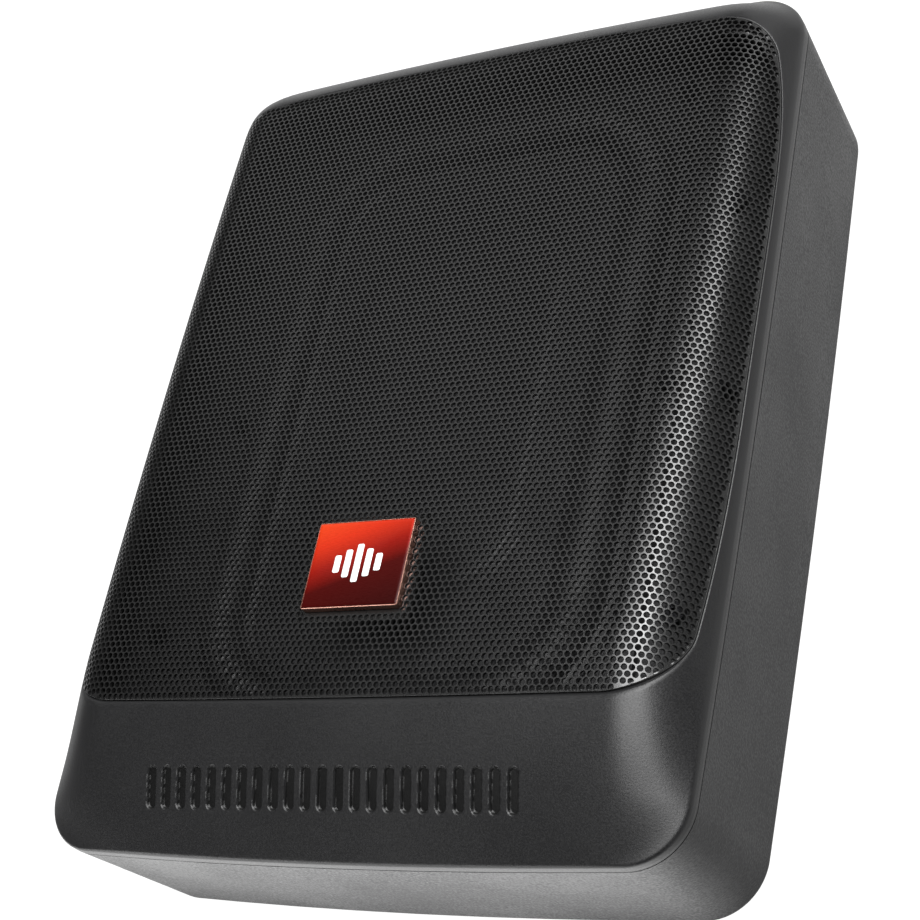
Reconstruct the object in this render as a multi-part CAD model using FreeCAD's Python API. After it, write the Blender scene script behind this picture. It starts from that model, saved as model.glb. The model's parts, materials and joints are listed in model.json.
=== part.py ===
import FreeCAD, Part
import math
import os

# Powered under-seat car subwoofer, lying on its back.
# Units are millimetres. +Z points out of the grille, +Y to the connector end, X across the width.
# The origin is the middle of the flat back.

# ---------------------------------------------------------------- enclosure
width = 194.5
length = 260.0
side_bow = 1.2            # how far each long side bulges at its middle
end_bow = 2.3             # how far each short end bulges at its middle
corner_radius = 16.5
back_half_width = 95.8    # the tub is drafted, so its back is smaller
back_half_length = 126.5
back_fillet = 1.2
wall = 3.5
floor = 3.0
tub_top = 48.0
gasket_thickness = 0.8
lip_top = 51.7            # arris where the domed front starts

# ---------------------------------------------------------------- domed front
dome_rise = 15.65
shoulder_width = 20.0     # rolled shoulders along both long sides
shoulder_power = 2.3
band_run = 55.0           # slope of the plain band at the -Y end
band_power = 1.8
far_run = 23.0            # roll-off at the +Y end
far_power = 2.4
crown_drop = 1.2          # the dome falls a little towards both ends
skin = 2.5
ledge_depth = 5.0

# ---------------------------------------------------------------- grille opening
opening_half_width = 95.6
opening_low = -91.0
opening_high = 115.3
opening_radius = 19.0
grille_gap = 0.35
grille_sheet = 1.0
grille_skirt = 3.0

# ---------------------------------------------------------------- badge and band pattern
badge_width = 30.4
badge_height = 25.8
badge_x = 0.0
badge_y = -54.7
badge_top = 68.5
badge_gap = 1.0           # between the badge's walls and the cut-out in the grille
badge_flange_top = 66.0   # just below the grille sheet
pattern_x = -2.0
pattern_y = -112.8
pattern_pitch = 5.0
pattern_bar = 3.0
pattern_count = 23
pattern_height = 10.8
pattern_depth = 0.8

# ---------------------------------------------------------------- baffle and driver
baffle_bottom = 42.0
baffle_top = 45.0
driver_y = 5.0
frame_half = (73.0, 106.3)
frame_radius = 22.0
frame_bottom = 45.8
frame_top = 47.6
throat_half = (63.5, 98.8)
throat_radius = 36.5
roll_line_half = (56.0, 91.3)
roll_line_radius = 30.0
roll_radius = 7.0
roll_thickness = 0.8
cone_half = (52.0, 87.3)
cone_radius = 26.0
cone_bottom = 46.9
cone_top = 48.1
plateau_half = (33.0, 58.0)
plateau_radius = 20.0
plateau_height = 2.0
deck_bottom = 24.5
deck_top = 26.0
deck_half = (45.5, 51.5)
basket_windows = (30.0, 43.0)
basket_hole_half = (66.0, 101.5)
basket_hole_radius = 39.0
pole_radius = 18.5
former_inner = 19.0
former_outer = 19.4
coil_outer = 20.1
gap_radius = 20.6
magnet_radius = 43.0
magnet_inner = 23.0
magnet_bottom = 8.0
magnet_top = 20.0
yoke_bottom = 3.6
yoke_radius = 40.0
spider_rim = 36.0

# ---------------------------------------------------------------- screws and inserts
cover_screw_spots = [
    (84.5, 115.0), (-84.5, 115.0), (84.5, -115.0), (-84.5, -115.0), (87.5, 0.0), (-87.5, 0.0)]
baffle_post_spots = [
    (81.5, 62.0), (-81.5, 62.0), (81.5, -62.0), (-81.5, -62.0), (45.0, -118.5), (-45.0, -118.5)]
driver_screw_spots = [
    (62.0, 102.0), (-62.0, 102.0), (62.0, -92.0), (-62.0, -92.0), (69.8, 5.0), (-69.8, 5.0)]
pilot_radius = 1.25       # holes that the screws thread into
insert_spots = [(80.0, 95.0), (-80.0, 95.0), (80.0, -95.0), (-80.0, -95.0)]
insert_radius = 4.0
insert_hole_radius = 2.1
insert_depth = 10.0
shank_radius = 1.2        # 0.05 mm clear of the pilot holes

# ---------------------------------------------------------------- amplifier board
board = (-66.0, 66.0, 58.0, 108.0)
board_bottom = 8.0
board_top = 9.6
board_spots = [(61.0, 63.0), (-61.0, 63.0), (61.0, 103.0), (-61.0, 103.0)]

# ---------------------------------------------------------------- connector panel
tray_half_width = 74.0
tray_inner_y = 113.0
tray_top = 41.5
panel_half_width = 69.6
panel_low = 6.9
panel_high = 38.1
panel_back = 117.0
panel_face = 119.0
window_half_width = 62.0
window_low = 10.0
window_high = 35.5
panel_screw_spots = [(65.8, 13.0), (-65.8, 13.0), (65.8, 32.0), (-65.8, 32.0)]
plug_row = 16.5
control_row = 29.5
power_x = 49.0
fuse_x = 25.0
jack_xs = [6.0, -8.0]
high_level_x = -27.0
remote_x = -48.0
level_x = 45.0
crossover_x = 22.0
phase_x = 0.0
mode_x = -22.0
lamp_x = -44.0
knob_radius = 5.0
stem_radius = 3.0
bore_radius = 3.05
slider_travel = 4.0


def vec(x, y, z):
    return FreeCAD.Vector(x, y, z)


def block(x0, x1, y0, y1, z0, z1):
    return Part.makeBox(x1 - x0, y1 - y0, z1 - z0, vec(x0, y0, z0))


def post(x, y, z0, z1, radius):
    return Part.makeCylinder(radius, z1 - z0, vec(x, y, z0))


def rod_y(x, z, y0, y1, radius):
    return Part.makeCylinder(radius, y1 - y0, vec(x, y0, z), vec(0, 1, 0))


def tube_z(x, y, z0, z1, outer, inner):
    return post(x, y, z0, z1, outer).cut(post(x, y, z0 - 1, z1 + 1, inner))


def join(shapes):
    whole = shapes[0]
    if len(shapes) > 1:
        whole = whole.multiFuse(shapes[1:])
    return whole.removeSplitter()


def group(shapes):
    return Part.makeCompound(shapes)


def rounded(half, radius, z0, z1, centre_y=0.0):
    """A rounded rectangle, centred on x = 0, standing from z0 to z1."""
    solid = block(-half[0], half[0], centre_y - half[1], centre_y + half[1], z0, z1)
    upright = [e for e in solid.Edges if abs(e.Vertexes[0].Z - e.Vertexes[1].Z) > 1e-6]
    return solid.makeFillet(radius, upright)


def rounded_wire(half, radius, z, centre_y):
    solid = rounded(half, radius, z, z + 1.0, centre_y)
    flat = [f for f in solid.Faces if abs(f.CenterOfMass.z - z) < 1e-6]
    return flat[0].OuterWire


def bowed_wire(half_x, half_y, z):
    """A rectangle whose four sides bulge a little, with sharp corners."""
    cx = half_x - side_bow
    cy = half_y - end_bow
    corners = [vec(cx, -cy, z), vec(cx, cy, z), vec(-cx, cy, z), vec(-cx, -cy, z)]
    middles = [vec(half_x, 0, z), vec(0, half_y, z), vec(-half_x, 0, z), vec(0, -half_y, z)]
    arcs = []
    for i in range(4):
        arcs.append(Part.Arc(corners[i], middles[i], corners[(i + 1) % 4]).toShape())
    return Part.Wire(arcs)


def corner_edges(solid):
    zs = solid.BoundBox
    tall = []
    for e in solid.Edges:
        a = e.Vertexes[0].Point
        b = e.Vertexes[-1].Point
        if abs(a.z - b.z) > 0.9 * (zs.ZMax - zs.ZMin):
            tall.append(e)
    return tall


def bowed_block(half_x, half_y, radius, z0, z1):
    solid = Part.Face(bowed_wire(half_x, half_y, z0)).extrude(vec(0, 0, z1 - z0))
    return solid.makeFillet(radius, corner_edges(solid))


def drafted_block(inset, z0, z1, radius):
    """The tub's drafted form, set in by inset, between two heights."""
    def half(z):
        share = z / tub_top
        hx = back_half_width + (width / 2 - back_half_width) * share
        hy = back_half_length + (length / 2 - back_half_length) * share
        return hx - inset, hy - inset
    low = bowed_wire(*half(z0), z0)
    high = bowed_wire(*half(z1), z1)
    solid = Part.makeLoft([low, high], True, True)
    return solid.makeFillet(radius, corner_edges(solid))


def roll(share, power):
    """0 at the edge, 1 once share reaches 1, and straight on below 0."""
    if share < 0:
        return power * share
    if share > 1:
        return 1.0
    return 1 - (1 - share) ** power


def dome_height(x, y):
    half_x = width / 2 - side_bow * (y / (length / 2)) ** 2
    half_y = length / 2 - end_bow * (x / (width / 2)) ** 2
    across = roll((half_x - abs(x)) / shoulder_width, shoulder_power)
    if y < 0:
        along = roll((half_y + y) / band_run, band_power)
    else:
        along = roll((half_y - y) / far_run, far_power)
    if across < 0 and along < 0:
        along = 0.0
    crown = crown_drop * ((y + 20) / 110.0) ** 2
    return lip_top + across * along * (dome_rise - crown)


def dome_face():
    rows = []
    nx, ny = 32, 42
    for j in range(ny + 1):
        y = -132.0 + 264.0 * j / ny
        xs = [-99.0 + 198.0 * i / nx for i in range(nx + 1)]
        rows.append([vec(x, y, dome_height(x, y)) for x in xs])
    surface = Part.BSplineSurface()
    surface.interpolate(rows)
    return surface.toShape()


dome = dome_face()


def under_dome(drop):
    """Everything below the domed front lowered by drop."""
    face = dome.copy()
    face.translate(vec(0, 0, -drop))
    solid = face.extrude(vec(0, 0, -60))
    if solid.Volume < 0:
        solid.reverse()
    return solid


def opening_block(inset, z0=40.0, z1=80.0):
    half = (opening_half_width - inset, (opening_high - opening_low) / 2 - inset)
    return rounded(half, opening_radius - inset, z0, z1, (opening_high + opening_low) / 2)


def posts(spots, z0, z1, radius):
    return [post(x, y, z0, z1, radius) for x, y in spots]


# ================================================================ enclosure
def rear_tub():
    shell = drafted_block(0, 0, tub_top, corner_radius)
    back_edges = [e for e in shell.Edges if e.BoundBox.ZMax < 0.01]
    shell = shell.makeFillet(back_fillet, back_edges)
    shell = shell.cut(drafted_block(wall, floor, tub_top + 1, corner_radius - wall))
    columns = posts(cover_screw_spots, 0.5, tub_top - 2.2, 4.5)
    columns += posts(baffle_post_spots, 0.5, baffle_bottom, 4.0)
    columns += posts(insert_spots, 0.5, insert_depth + 3.0, insert_radius + 2.5)
    tray = block(-tray_half_width, tray_half_width, tray_inner_y, 140, 0.5, tray_top)
    tray = tray.common(drafted_block(0.6, 0.4, tub_top, corner_radius))
    shell = join([shell, tray] + columns)
    pocket = block(-70.0, 70.0, panel_back, 140, panel_low - 0.4, panel_high + 0.4)
    window = block(-window_half_width, window_half_width, 100, 140, window_low, window_high)
    holes = [pocket, window]
    for x, y in cover_screw_spots:
        holes.append(post(x, y, -1, 60, 1.7))
        holes.append(post(x, y, -1, 4.0, 3.6))
    for x, y in baffle_post_spots:
        holes.append(post(x, y, baffle_bottom - 12, baffle_bottom + 1, pilot_radius))
    for x, y in insert_spots:
        holes.append(post(x, y, -1, insert_depth, insert_radius))
    for x, z in panel_screw_spots:
        holes.append(rod_y(x, z, tray_inner_y - 1, panel_back + 1, pilot_radius))
    return shell.cut(Part.makeCompound(holes))


def pattern_cutters():
    slots = []
    reach = pattern_height / 2
    for i in range(pattern_count):
        x = pattern_x + (i - (pattern_count - 1) / 2) * pattern_pitch
        body = block(x - pattern_bar / 2, x + pattern_bar / 2, pattern_y - reach, pattern_y + reach, 50, 70)
        slots.append(body.cut(under_dome_shallow))
    return Part.makeCompound(slots)


def front_cover():
    outer = bowed_block(width / 2, length / 2, corner_radius, tub_top + gasket_thickness, 75)
    inner = bowed_block(width / 2 - wall, length / 2 - wall, corner_radius - wall, 40, 75)
    shell = outer.common(under_dome(0)).cut(inner.common(under_dome(skin)))
    shell = shell.cut(opening_block(0))
    ring = opening_block(-0.8).cut(opening_block(3.0))
    ledge = ring.common(under_dome(grille_skirt).cut(under_dome(ledge_depth)))
    collar = opening_block(-1.5).cut(opening_block(0)).common(outer)
    collar = collar.common(under_dome(skin - 0.5).cut(under_dome(ledge_depth)))
    below_grille = under_dome(grille_skirt + 0.5)
    below_band = under_dome(skin - 0.5)
    bosses = []
    for x, y in cover_screw_spots:
        boss = post(x, y, tub_top - 2.0, 70, 4.0)
        if y == 0:
            wall_x = math.copysign(95.5, x)
            rib = block(min(x, wall_x), max(x, wall_x), y - 1.5, y + 1.5, tub_top + 1.5, 70)
            boss = join([boss, rib])
        boss = boss.common(below_band if y < 0 else below_grille)
        bosses.append(boss.cut(post(x, y, 40, 52.0, pilot_radius)))
    shell = join([shell, ledge, collar] + bosses)
    return shell.cut(pattern_cutters())


def cover_gasket():
    z0 = tub_top
    z1 = tub_top + gasket_thickness
    ring = bowed_block(width / 2 - 1.2, length / 2 - 1.2, corner_radius - 1.2, z0, z1)
    return ring.cut(bowed_block(width / 2 - 3.3, length / 2 - 3.3, corner_radius - 3.3, z0 - 1, z1 + 1))


def grille():
    plate = opening_block(grille_gap).common(under_dome(0).cut(under_dome(grille_sheet)))
    band = opening_block(grille_gap).cut(opening_block(grille_gap + 1.0))
    skirt = band.common(under_dome(0.5).cut(under_dome(grille_skirt)))
    return join([plate, skirt]).cut(badge_box(-badge_gap, 60, 80))


def badge_box(inset, z0, z1):
    return block(
        badge_x - badge_width / 2 + inset, badge_x + badge_width / 2 - inset,
        badge_y - badge_height / 2 + inset, badge_y + badge_height / 2 - inset, z0, z1)


def badge_tray():
    """A shallow metal tray with a flange that lies behind the grille sheet."""
    flange = badge_box(-2.5, badge_flange_top - 1.0, badge_flange_top)
    walls = badge_box(0, badge_flange_top - 0.5, badge_top)
    return join([flange, walls]).cut(badge_box(0.5, badge_top - 0.6, badge_top + 1))


def badge_plate():
    return badge_box(0.55, badge_top - 0.6, badge_top + 0.05)


def badge_emblem():
    bars = []
    heights = [5.0, 8.0, 11.0, 8.0, 5.0]
    for i in range(5):
        x = badge_x + (i - 2) * 3.2
        reach = heights[i] / 2
        bars.append(block(
            x - 0.9, x + 0.9, badge_y - reach, badge_y + reach, badge_top + 0.05, badge_top + 0.2))
    return group(bars)


def screw_up(x, y, z0, z1, head_radius, head_height, shank):
    """A screw driven upwards, with its head at the bottom."""
    head = post(x, y, z0, z0 + head_height, head_radius)
    socket = post(x, y, z0 - 1, z0 + head_height * 0.6, head_radius * 0.4)
    return join([head.cut(socket), post(x, y, z0 + head_height - 0.2, z1, shank)])


def screw_down(x, y, z_seat, depth, head_radius, head_height, shank):
    """A screw driven downwards, with its head on z_seat."""
    head = post(x, y, z_seat, z_seat + head_height, head_radius)
    socket = post(x, y, z_seat + head_height * 0.4, z_seat + head_height + 1, head_radius * 0.4)
    return join([head.cut(socket), post(x, y, z_seat - depth, z_seat + 0.2, shank)])


def cover_screws():
    return group([screw_up(x, y, 1.4, 51.5, 3.2, 2.6, shank_radius) for x, y in cover_screw_spots])


def baffle_screws():
    return group([screw_down(x, y, baffle_top, 13.0, 3.0, 2.0, shank_radius) for x, y in baffle_post_spots])


def driver_screws():
    return group([screw_down(x, y, frame_top, 5.0, 2.8, 1.8, shank_radius) for x, y in driver_screw_spots])


def bracket_inserts():
    rings = []
    for x, y in insert_spots:
        body = post(x, y, 0.0, insert_depth, insert_radius - 0.02)
        rings.append(body.cut(post(x, y, -1, insert_depth - 1.5, insert_hole_radius)))
    return group(rings)


def baffle():
    plate = drafted_block(wall + 0.6, baffle_bottom, baffle_top, corner_radius - wall - 0.6)
    holes = [rounded(basket_hole_half, basket_hole_radius, 30, 60, driver_y)]
    holes += posts(cover_screw_spots, 30, 60, 5.0)
    holes += posts(baffle_post_spots, 30, 60, 1.6)
    holes += posts(driver_screw_spots, 30, 60, pilot_radius)
    return plate.cut(Part.makeCompound(holes))


# ================================================================ driver
def driver_gasket():
    ring = rounded(frame_half, frame_radius, baffle_top, frame_bottom, driver_y)
    ring = ring.cut(rounded(basket_hole_half, basket_hole_radius, 30, 60, driver_y))
    return ring.cut(Part.makeCompound(posts(driver_screw_spots, 30, 60, 1.6)))


def driver_frame():
    flange = rounded(frame_half, frame_radius, frame_bottom, frame_top, driver_y)
    outer = Part.makeLoft([
        rounded_wire(deck_half, 41.0, deck_bottom, driver_y),
        rounded_wire((65.0, 100.3), 38.0, frame_bottom + 0.5, driver_y)], True, True)
    inner = Part.makeLoft([
        rounded_wire((deck_half[0] - 1.5, deck_half[1] - 1.5), 39.5, deck_top, driver_y),
        rounded_wire(throat_half, throat_radius, frame_bottom + 0.5, driver_y)], True, True)
    basket = join([flange, outer])
    basket = basket.cut(inner).cut(rounded(throat_half, throat_radius, frame_bottom, 60, driver_y))
    low, high = basket_windows
    windows = [post(0, driver_y, 20, 30, 31.0)]
    for x0, x1 in ((-26, -4), (4, 26)):
        windows.append(block(x0, x1, driver_y - 120, driver_y + 120, low, high))
    for y0, y1 in ((-34, -5), (5, 34)):
        windows.append(block(-80, 80, driver_y + y0, driver_y + y1, low, high))
    basket = basket.cut(Part.makeCompound(windows))
    seat = tube_z(0, driver_y, deck_top - 0.2, deck_top + 2.0, spider_rim, 33.0)
    basket = join([basket, seat])
    return basket.cut(Part.makeCompound(posts(driver_screw_spots, 30, 60, 1.6)))


def roll_ring():
    """The half-roll surround, its profile carried round a rounded rectangle."""
    base = frame_top
    x0 = roll_line_half[0]
    r = roll_radius
    t = roll_thickness
    inner_base = cone_top + 0.3

    def at(dx, z):
        return vec(x0 + dx, driver_y, z)

    mid = base + t
    points = [
        Part.makeLine(at(r + 4, base), at(r, base)),
        Part.Arc(at(r, base), at(0, base + r), at(-r, inner_base)).toShape(),
        Part.makeLine(at(-r, inner_base), at(-r - 3.5, inner_base)),
        Part.makeLine(at(-r - 3.5, inner_base), at(-r - 3.5, inner_base + t)),
        Part.makeLine(at(-r - 3.5, inner_base + t), at(-r - t, inner_base + t)),
        Part.Arc(at(-r - t, inner_base + t), at(0, base + r + t), at(r + t, mid)).toShape(),
        Part.makeLine(at(r + t, mid), at(r + 4, mid)),
        Part.makeLine(at(r + 4, mid), at(r + 4, base))]
    path = roll_path(roll_line_half, roll_line_radius, base)
    return path.makePipeShell([Part.Wire(points)], True, True)


def roll_path(half, radius, z):
    """A rounded rectangle path that starts at the middle of its +X side."""
    hx, hy = half
    k = radius * (1 - math.sqrt(0.5))
    cy = driver_y
    p = [
        vec(hx, cy, z),
        vec(hx, cy + hy - radius, z), vec(hx - k, cy + hy - k, z), vec(hx - radius, cy + hy, z),
        vec(-hx + radius, cy + hy, z), vec(-hx + k, cy + hy - k, z), vec(-hx, cy + hy - radius, z),
        vec(-hx, cy - hy + radius, z), vec(-hx + k, cy - hy + k, z), vec(-hx + radius, cy - hy, z),
        vec(hx - radius, cy - hy, z), vec(hx - k, cy - hy + k, z), vec(hx, cy - hy + radius, z)]
    edges = [
        Part.makeLine(p[0], p[1]), Part.Arc(p[1], p[2], p[3]).toShape(),
        Part.makeLine(p[3], p[4]), Part.Arc(p[4], p[5], p[6]).toShape(),
        Part.makeLine(p[6], p[7]), Part.Arc(p[7], p[8], p[9]).toShape(),
        Part.makeLine(p[9], p[10]), Part.Arc(p[10], p[11], p[12]).toShape(),
        Part.makeLine(p[12], p[0])]
    return Part.Wire(edges)


def diaphragm():
    return rounded(cone_half, cone_radius, cone_bottom, cone_top, driver_y)


def centre_panel():
    panel = rounded(plateau_half, plateau_radius, cone_top, cone_top + plateau_height, driver_y)
    top = [e for e in panel.Edges if e.BoundBox.ZMin > cone_top + plateau_height - 0.01]
    return panel.makeChamfer(1.2, top)


def coil_former():
    return tube_z(0, driver_y, 16.0, cone_bottom, former_outer, former_inner)


def voice_coil():
    return tube_z(0, driver_y, 16.3, 28.3, coil_outer, former_outer)


def spider():
    """A corrugated suspension disc: its rim is glued to the frame, its neck stands round the coil former."""
    rim_z = deck_top + 2.0
    neck = former_outer + 0.3
    folds = 4
    step = (33.0 - neck) / (2 * folds)
    lower = [vec(spider_rim, 0, rim_z), vec(33.0, 0, rim_z)]
    for i in range(1, 2 * folds):
        rise = 1.4 if i % 2 else 0.2
        lower.append(vec(33.0 - step * i, 0, rim_z + rise + 2.6 * i / (2 * folds)))
    lower.append(vec(neck, 0, rim_z + 3.0))
    upper = [vec(p.x, 0, p.z + 0.6) for p in reversed(lower)]
    outline = Part.makePolygon(lower + upper + [lower[0]])
    disc = Part.Face(outline).revolve(vec(0, 0, 0), vec(0, 0, 1), 360)
    disc.translate(vec(0, driver_y, 0))
    return disc


def top_plate():
    return tube_z(0, driver_y, magnet_top, deck_bottom, magnet_radius - 2.0, gap_radius)


def magnet_ring():
    return tube_z(0, driver_y, magnet_bottom, magnet_top, magnet_radius, magnet_inner)


def yoke():
    plate = post(0, driver_y, yoke_bottom, magnet_bottom, yoke_radius)
    rim = [e for e in plate.Edges if e.BoundBox.ZMax < yoke_bottom + 0.01]
    plate = plate.makeChamfer(1.5, rim)
    pole = post(0, driver_y, magnet_bottom - 1, deck_bottom, pole_radius)
    return join([plate, pole]).cut(post(0, driver_y, 0, 60, 5.0))


def terminal_strip():
    board_plate = block(-10, 10, driver_y + 92.0, driver_y + 93.5, 30.0, 40.5)
    lugs = []
    for side in (-1, 1):
        lugs.append(block(side * 6 - 1.6, side * 6 + 1.6, driver_y + 93.5, driver_y + 94.2, 31.0, 38.0))
    return join([board_plate] + lugs)


def smooth_tube(points, diameter):
    """A round tube along straight runs joined by tangent arcs."""
    edges = []
    last = points[0]
    for i in range(1, len(points) - 1):
        a = points[i].sub(points[i - 1])
        b = points[i + 1].sub(points[i])
        turn = a.getAngle(b)
        reach = 0.45 * min(a.Length, b.Length)
        a.normalize()
        b.normalize()
        start = points[i].sub(a.multiply(reach))
        end = points[i].add(b.multiply(reach))
        radius = reach / math.tan(turn / 2)
        inward = start.add(end).multiply(0.5).sub(points[i])
        inward.normalize()
        sag = math.hypot(radius, reach) - radius
        middle = points[i].add(inward.multiply(sag))
        edges.append(Part.makeLine(last, start))
        edges.append(Part.Arc(start, middle, end).toShape())
        last = end
    edges.append(Part.makeLine(last, points[-1]))
    path = Part.Wire(edges)
    direction = points[1].sub(points[0])
    ring = Part.Wire(Part.makeCircle(diameter / 2, points[0], direction))
    return path.makePipeShell([ring], True, True)


def tinsel_leads():
    leads = []
    for side in (-1, 1):
        x = side * 10.0
        route = [
            vec(x, 95.0, 36.5), vec(x, 84.0, 35.5), vec(x, 68.0, 38.0),
            vec(x, 50.0, 37.0), vec(x, 38.0, 41.0), vec(x, 33.0, 46.5)]
        leads.append(smooth_tube(route, 1.2))
    return group(leads)


# ================================================================ amplifier
def amp_board():
    plate = block(board[0], board[1], board[2], board[3], board_bottom, board_top)
    return plate.cut(Part.makeCompound(posts(board_spots, 0, 20, 1.6)))


def board_spacers():
    return group([tube_z(x, y, floor, board_bottom, 3.5, pilot_radius) for x, y in board_spots])


def board_screws():
    return group([screw_down(x, y, board_top, 6.0, 2.8, 1.8, shank_radius) for x, y in board_spots])


def supply_capacitors():
    return group([post(x, 97.0, board_top, board_top + 17.0, 6.3) for x in (-44.0, -30.0, -16.0)])


def output_choke():
    ring = Part.makeTorus(8.0, 4.0, vec(34.0, 94.0, board_top + 4.2))
    return ring


def power_transformer():
    core = block(-8.0, 14.0, 86.0, 104.0, board_top + 3.0, board_top + 13.0)
    bobbin = block(-4.0, 10.0, 83.0, 107.0, board_top, board_top + 16.0)
    return join([core, bobbin])


def power_transistors():
    cases = []
    for x in (-36.0, -22.0, 22.0, 36.0):
        cases.append(block(x - 5, x + 5, 66.5, 71.0, board_top + 2.0, board_top + 13.0))
    return group(cases)


def heat_spreader():
    return block(-46.0, 46.0, 60.0, 66.5, board_top, board_top + 14.0)


def transistor_clamp():
    bar = block(-42.0, 42.0, 71.0, 72.5, board_top + 5.0, board_top + 10.0)
    return bar.cut(rod_y(0, board_top + 7.5, 60, 80, 1.6))


def clamp_screw():
    seat = 72.5
    z = board_top + 7.5
    head = rod_y(0, z, seat, seat + 2.0, 2.8)
    return join([head, rod_y(0, z, 66.6, seat + 0.1, 1.2)])


def speaker_leads():
    leads = []
    for side in (-1, 1):
        x = side * 6.0
        route = [
            vec(side * 54.0, 80.0, board_top), vec(side * 54.0, 80.0, 17.0), vec(side * 46.0, 84.0, 25.0),
            vec(side * 32.0, 96.0, 30.0), vec(side * 17.0, 103.0, 32.0), vec(x, 103.5, 33.0),
            vec(x, 99.9, 34.0)]
        leads.append(smooth_tube(route, 1.8))
    return group(leads)


# ================================================================ connector panel
def control_panel():
    plate = block(-panel_half_width, panel_half_width, panel_back, panel_face, panel_low, panel_high)
    holes = []
    for x, z in panel_screw_spots:
        holes.append(rod_y(x, z, 100, 130, 1.7))
    for x in (level_x, crossover_x):
        holes.append(rod_y(x, control_row, 100, 130, 4.6))
    for x in (phase_x, mode_x):
        holes.append(block(x - 4.4, x + 4.4, 100, 130, control_row - 1.9, control_row + 1.9))
    holes.append(rod_y(lamp_x, control_row, 100, 130, 1.6))
    for x in jack_xs:
        holes.append(rod_y(x, plug_row, 100, 130, 3.5))
    holes.append(socket_hole(power_x, 20.0, 12.0))
    holes.append(socket_hole(fuse_x, 20.0, 10.0))
    holes.append(socket_hole(high_level_x, 14.0, 10.0))
    holes.append(socket_hole(remote_x, 14.0, 12.0))
    return plate.cut(Part.makeCompound(holes))


def socket_hole(x, wide, high):
    dx = wide / 2 + 0.1
    dz = high / 2 + 0.1
    return block(x - dx, x + dx, 100, 130, plug_row - dz, plug_row + dz)


def socket_shell(x, wide, high, front, depth, rim):
    """A socket housing, open towards +Y, that passes through the panel."""
    z = plug_row
    body = block(x - wide / 2, x + wide / 2, 106.0, front, z - high / 2, z + high / 2)
    hollow = block(
        x - wide / 2 + rim, x + wide / 2 - rim, front - depth, front + 1,
        z - high / 2 + rim, z + high / 2 - rim)
    return body.cut(hollow)


def contact_pins(x, count, step, root_y):
    """A row of pins that stand on the bottom of a socket."""
    xs = [x + (i - (count - 1) / 2) * step for i in range(count)]
    return [rod_y(px, plug_row, root_y - 1, root_y + 5, 0.6) for px in xs]


def power_socket():
    shell = socket_shell(power_x, 20.0, 12.0, 124.0, 12.0, 1.4)
    return join([shell] + contact_pins(power_x, 4, 4.0, 112.0))


def high_level_socket():
    shell = socket_shell(high_level_x, 14.0, 10.0, 123.0, 11.0, 1.3)
    return join([shell] + contact_pins(high_level_x, 4, 2.6, 112.0))


def remote_socket():
    return socket_shell(remote_x, 14.0, 12.0, 120.0, 9.0, 1.6)


def fuse_holder():
    return socket_shell(fuse_x, 20.0, 10.0, 121.5, 11.0, 2.4)


def fuse():
    z = plug_row
    cap = block(fuse_x - 7.2, fuse_x + 7.2, 118.0, 126.0, z - 2.2, z + 2.2)
    blades = []
    for side in (-1, 1):
        x = fuse_x + side * 5.0
        blades.append(block(x - 1.3, x + 1.3, 111.0, 118.2, z - 0.4, z + 0.4))
    return join([cap] + blades)


def input_jacks():
    barrels = []
    for x in jack_xs:
        flange = rod_y(x, plug_row, panel_face, panel_face + 1.2, 5.6)
        barrel = rod_y(x, plug_row, panel_back - 4.0, 127.0, 4.15)
        barrel = barrel.common(block(x - 9, x + 9, panel_face, 130, 0, 40))
        neck = rod_y(x, plug_row, 112.0, panel_face + 0.5, 3.4)
        shell = join([flange, barrel, neck])
        barrels.append(shell.cut(rod_y(x, plug_row, 100, 140, 3.0)))
    return group(barrels)


def jack_insulators():
    plugs = []
    for x in jack_xs:
        core = rod_y(x, plug_row, 112.0, 125.5, 2.95)
        plugs.append(core.cut(rod_y(x, plug_row, 114.0, 140, 1.6)))
    return group(plugs)


def knob(x):
    cap = rod_y(x, control_row, 120.0, 126.0, knob_radius)
    top = [e for e in cap.Edges if e.BoundBox.YMin > 125.9]
    cap = cap.makeChamfer(0.6, top)
    stem = rod_y(x, control_row, 110.5, 120.2, stem_radius)
    mark = block(x - 0.5, x + 0.5, 125.4, 127, control_row + 1.0, control_row + 6.0)
    return join([cap, stem]).cut(mark)


def pot(x):
    can = block(x - 5.5, x + 5.5, 105.0, panel_back, control_row - 5.4, control_row + 5.4)
    bush = rod_y(x, control_row, panel_back - 1.0, 119.5, 4.5)
    return join([can, bush]).cut(rod_y(x, control_row, 110.0, 130, bore_radius))


def level_knob():
    return knob(level_x)


def level_pot():
    return pot(level_x)


def crossover_knob():
    return knob(crossover_x)


def crossover_pot():
    return pot(crossover_x)


def slide_switch(x):
    can = block(x - 7.0, x + 7.0, 109.0, panel_back, control_row - 3.5, control_row + 3.5)
    return can.cut(block(x - 4.4, x + 4.4, 112.5, 130, control_row - 1.9, control_row + 1.9))


def slider(x):
    at = x - slider_travel / 2
    foot = block(at - 2.0, at + 2.0, 113.0, 117.5, control_row - 1.5, control_row + 1.5)
    lever = block(at - 1.5, at + 1.5, 117.0, 121.5, control_row - 1.3, control_row + 1.3)
    return join([foot, lever])


def phase_switch():
    return slide_switch(phase_x)


def phase_slider():
    return slider(phase_x)


def mode_switch():
    return slide_switch(mode_x)


def mode_slider():
    return slider(mode_x)


def power_lamp():
    stem = rod_y(lamp_x, control_row, 112.0, 119.2, 1.5)
    tip = Part.makeSphere(1.5, vec(lamp_x, 119.2, control_row))
    return join([stem, tip])


def panel_screws():
    screws = []
    for x, z in panel_screw_spots:
        head = rod_y(x, z, panel_face, panel_face + 1.8, 2.8)
        recess = rod_y(x, z, panel_face + 0.8, panel_face + 3, 1.1)
        screws.append(join([head.cut(recess), rod_y(x, z, 113.0, panel_face + 0.2, shank_radius)]))
    return group(screws)


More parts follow.
